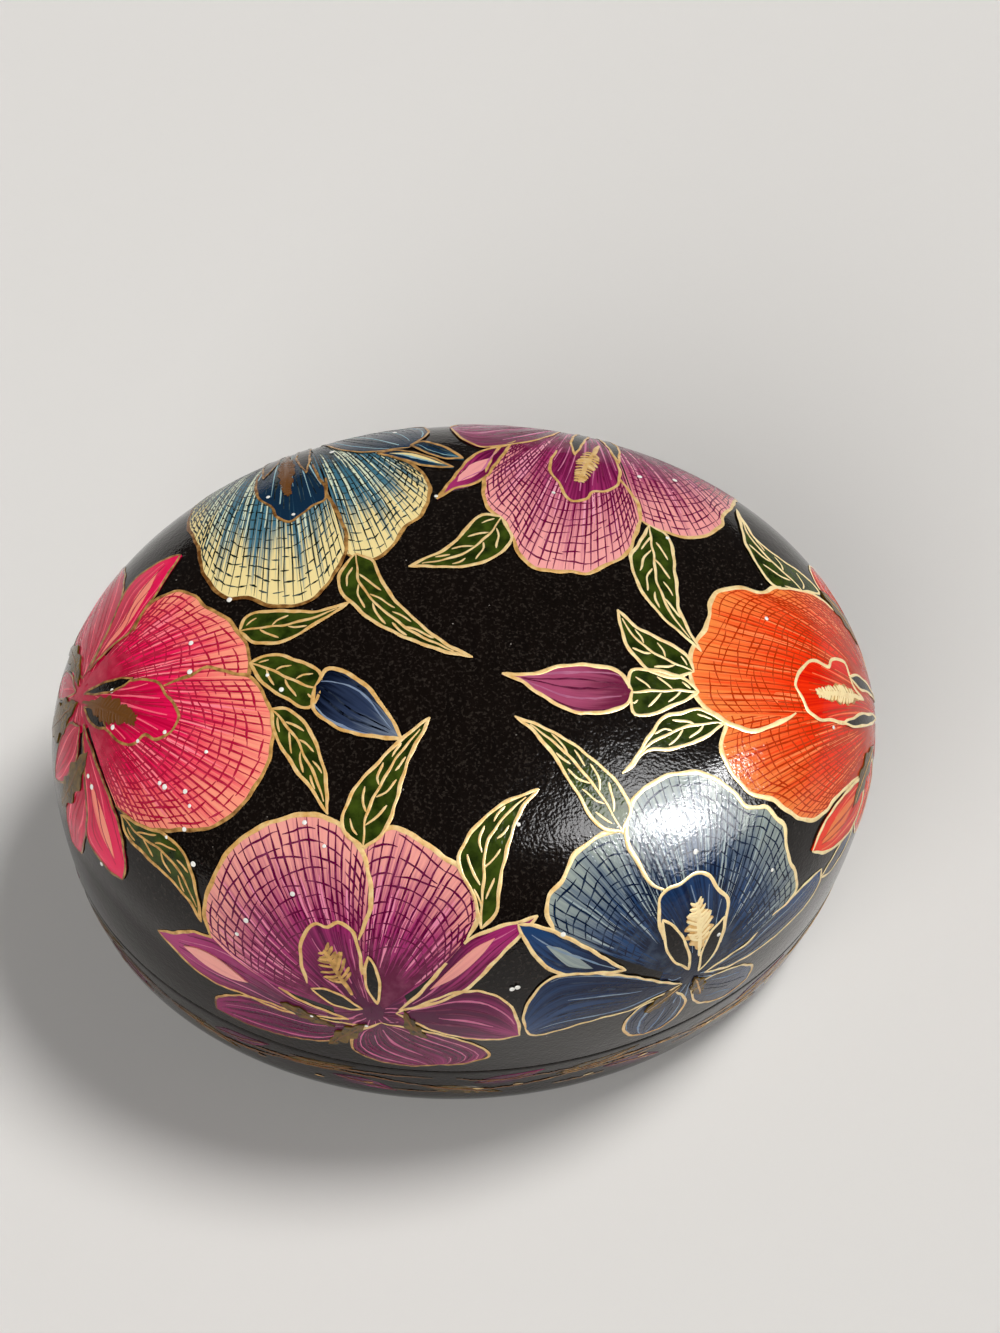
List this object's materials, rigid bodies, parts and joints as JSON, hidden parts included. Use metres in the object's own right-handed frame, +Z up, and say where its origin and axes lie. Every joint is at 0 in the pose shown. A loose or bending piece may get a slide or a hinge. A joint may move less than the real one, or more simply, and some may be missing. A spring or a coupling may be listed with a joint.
{
  "type": "lidded trinket box",
  "caption": "Oval lacquered papier mache trinket box with a domed lift-off lid that slips over an inner collar, painted with flowers.",
  "frame": {"origin": "centre of the flat foot, on the surface that the box stands on", "axes": "+Z up, +X along the long axis of the oval, +Y across it, away from the front"},
  "size_m": [0.1, 0.08, 0.055],
  "materials": {
    "black_lacquer": "gloss",
    "black_inside": "satin",
    "petal_paint": "gloss",
    "leaf_paint": "gloss",
    "gold_paint": "gloss"
  },
  "bodies": {
    "base": {"base_shell": "black_lacquer", "collar": "black_inside"},
    "lid": {"lid_shell": "black_lacquer"}
  },
  "joints": [
    {"name": "lid_lift", "type": "slide", "parent": "base", "child": "lid", "axis": [0, 0, 1], "range_m": [0, 0.06]}
  ]
}
